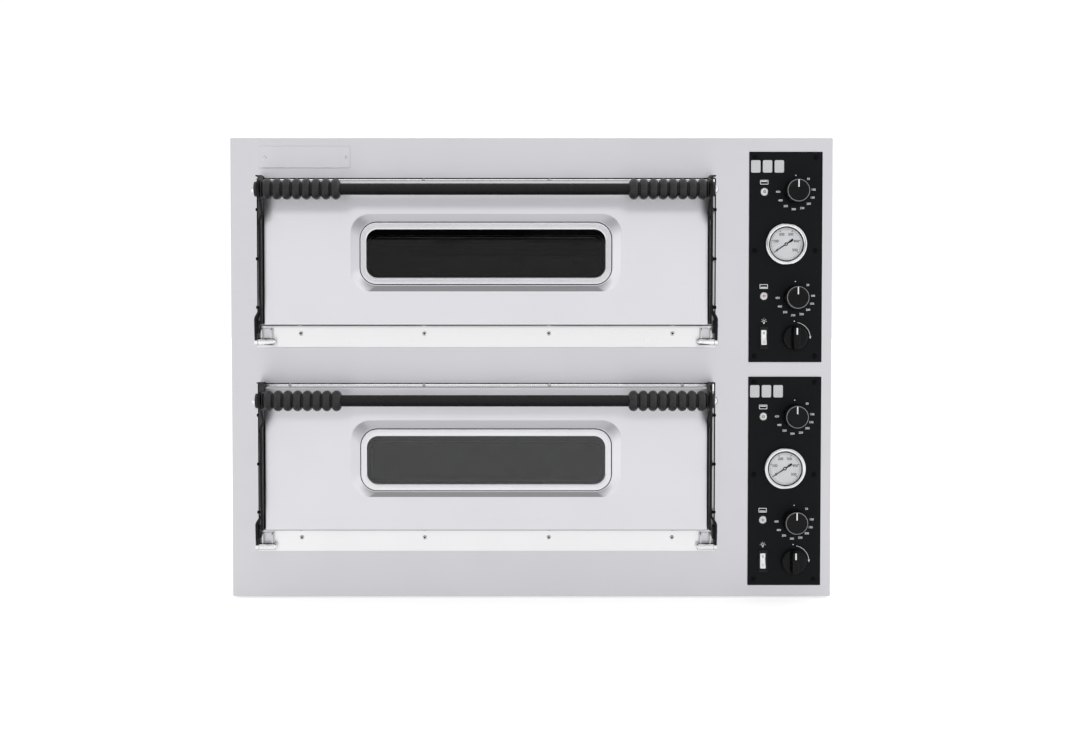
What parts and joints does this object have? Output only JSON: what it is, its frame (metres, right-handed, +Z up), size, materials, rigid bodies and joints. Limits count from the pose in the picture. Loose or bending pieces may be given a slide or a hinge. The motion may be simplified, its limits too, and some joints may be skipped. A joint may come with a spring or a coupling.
{
  "type": "countertop pizza oven",
  "caption": "Double-deck electric countertop pizza oven in stainless steel, with windowed drop-down doors on lever arms, ribbed black handles and black control panels.",
  "frame": {"origin": "on the table under the middle of the oven's overall box, between the handles' front and the vent pipes' end", "axes": "+X to the right of a person facing the doors, +Y from the doors to the back, +Z up"},
  "size_m": [0.975, 0.924, 0.748],
  "materials": {
    "front_stainless": "brushed, satin",
    "door_stainless": "brushed, satin",
    "casing_stainless": "fine brushed",
    "chamber_stainless": "brushed, heat tinted",
    "hinge_steel": "bright",
    "lever_black": "satin black coating",
    "grip_black": "moulded, satin",
    "knob_black": "moulded, satin",
    "control_black": "satin black coating",
    "door_glass": "clear, dark behind",
    "firebrick": "fired, matt",
    "mineral_wool": "fibrous",
    "heating_rod": "oxidised sheath",
    "gauge_chrome": "polished bezel",
    "needle_black": "matt",
    "rocker_white": "moulded, gloss",
    "lamp_lens": "faceted lens",
    "foot_rubber": "matt",
    "gland_plastic": "moulded"
  },
  "bodies": {
    "root": {"front_panel": "front_stainless", "left_side_panel": "casing_stainless", "right_side_panel": "casing_stainless", "top_cover": "casing_stainless", "rear_panel": "casing_stainless", "base_pan": "casing_stainless", "foot_front_left": "foot_rubber", "foot_front_right": "foot_rubber", "foot_rear_left": "foot_rubber", "foot_rear_right": "foot_rubber", "insulation": "mineral_wool", "cable_gland": "gland_plastic", "upper_chamber": "chamber_stainless", "upper_stone": "firebrick", "upper_bottom_element": "heating_rod", "upper_top_element": "heating_rod", "upper_sill_plate": "front_stainless", "upper_left_hinge": "hinge_steel", "upper_right_hinge": "hinge_steel", "upper_control_panel": "control_black", "upper_gauge": "gauge_chrome", "upper_top_lamp": "lamp_lens", "upper_bottom_lamp": "lamp_lens", "lower_chamber": "chamber_stainless", "lower_stone": "firebrick", "lower_bottom_element": "heating_rod", "lower_top_element": "heating_rod", "lower_sill_plate": "front_stainless", "lower_left_hinge": "hinge_steel", "lower_right_hinge": "hinge_steel", "lower_control_panel": "control_black", "lower_gauge": "gauge_chrome", "lower_top_lamp": "lamp_lens", "lower_bottom_lamp": "lamp_lens"},
    "upper_door": {"upper_door_outer": "door_stainless", "upper_door_glass": "door_glass", "upper_door_inner": "chamber_stainless", "upper_left_lever": "lever_black", "upper_right_lever": "lever_black", "upper_handle_bar": "lever_black", "upper_left_grip": "grip_black", "upper_right_grip": "grip_black"},
    "upper_top_thermostat_knob": {"upper_top_thermostat_knob": "knob_black"},
    "upper_bottom_thermostat_knob": {"upper_bottom_thermostat_knob": "knob_black"},
    "upper_selector_knob": {"upper_selector_knob": "knob_black"},
    "upper_gauge_needle": {"upper_gauge_needle": "needle_black"},
    "upper_rocker": {"upper_rocker": "rocker_white"},
    "lower_door": {"lower_door_outer": "door_stainless", "lower_door_glass": "door_glass", "lower_door_inner": "chamber_stainless", "lower_left_lever": "lever_black", "lower_right_lever": "lever_black", "lower_handle_bar": "lever_black", "lower_left_grip": "grip_black", "lower_right_grip": "grip_black"},
    "lower_top_thermostat_knob": {"lower_top_thermostat_knob": "knob_black"},
    "lower_bottom_thermostat_knob": {"lower_bottom_thermostat_knob": "knob_black"},
    "lower_selector_knob": {"lower_selector_knob": "knob_black"},
    "lower_gauge_needle": {"lower_gauge_needle": "needle_black"},
    "lower_rocker": {"lower_rocker": "rocker_white"}
  },
  "joints": [
    {"name": "upper_door_hinge", "type": "hinge", "parent": "root", "child": "upper_door", "pos_m": [-0.0733, -0.383, 0.419], "axis": [1, 0, 0], "range_deg": [0, 90], "stiffness_Nm_per_rad": 3, "springref_deg": -34.38},
    {"name": "upper_top_thermostat_knob_turn", "type": "hinge", "parent": "root", "child": "upper_top_thermostat_knob", "pos_m": [0.4275, -0.3765, 0.66175], "axis": [0, 1, 0], "range_deg": [0, 270]},
    {"name": "upper_bottom_thermostat_knob_turn", "type": "hinge", "parent": "root", "child": "upper_bottom_thermostat_knob", "pos_m": [0.4275, -0.3765, 0.49025], "axis": [0, 1, 0], "range_deg": [0, 270]},
    {"name": "upper_selector_knob_turn", "type": "hinge", "parent": "root", "child": "upper_selector_knob", "pos_m": [0.427, -0.3765, 0.42535], "axis": [0, 1, 0], "range_deg": [0, 90]},
    {"name": "upper_gauge_needle_turn", "type": "hinge", "parent": "root", "child": "upper_gauge_needle", "pos_m": [0.4116, -0.3765, 0.57675], "axis": [0, 1, 0], "range_deg": [0, 248]},
    {"name": "upper_rocker_tip", "type": "hinge", "parent": "root", "child": "upper_rocker", "pos_m": [0.3768, -0.3715, 0.42535], "axis": [1, 0, 0], "range_deg": [0, 14]},
    {"name": "lower_door_hinge", "type": "hinge", "parent": "root", "child": "lower_door", "pos_m": [-0.0733, -0.383, 0.087], "axis": [1, 0, 0], "range_deg": [0, 90], "stiffness_Nm_per_rad": 3, "springref_deg": -34.38},
    {"name": "lower_top_thermostat_knob_turn", "type": "hinge", "parent": "root", "child": "lower_top_thermostat_knob", "pos_m": [0.4275, -0.3765, 0.2978], "axis": [0, 1, 0], "range_deg": [0, 270]},
    {"name": "lower_bottom_thermostat_knob_turn", "type": "hinge", "parent": "root", "child": "lower_bottom_thermostat_knob", "pos_m": [0.4275, -0.3765, 0.1263], "axis": [0, 1, 0], "range_deg": [0, 270]},
    {"name": "lower_selector_knob_turn", "type": "hinge", "parent": "root", "child": "lower_selector_knob", "pos_m": [0.427, -0.3765, 0.0614], "axis": [0, 1, 0], "range_deg": [0, 90]},
    {"name": "lower_gauge_needle_turn", "type": "hinge", "parent": "root", "child": "lower_gauge_needle", "pos_m": [0.4116, -0.3765, 0.2128], "axis": [0, 1, 0], "range_deg": [0, 248]},
    {"name": "lower_rocker_tip", "type": "hinge", "parent": "root", "child": "lower_rocker", "pos_m": [0.3768, -0.3715, 0.0614], "axis": [1, 0, 0], "range_deg": [0, 14]}
  ]
}
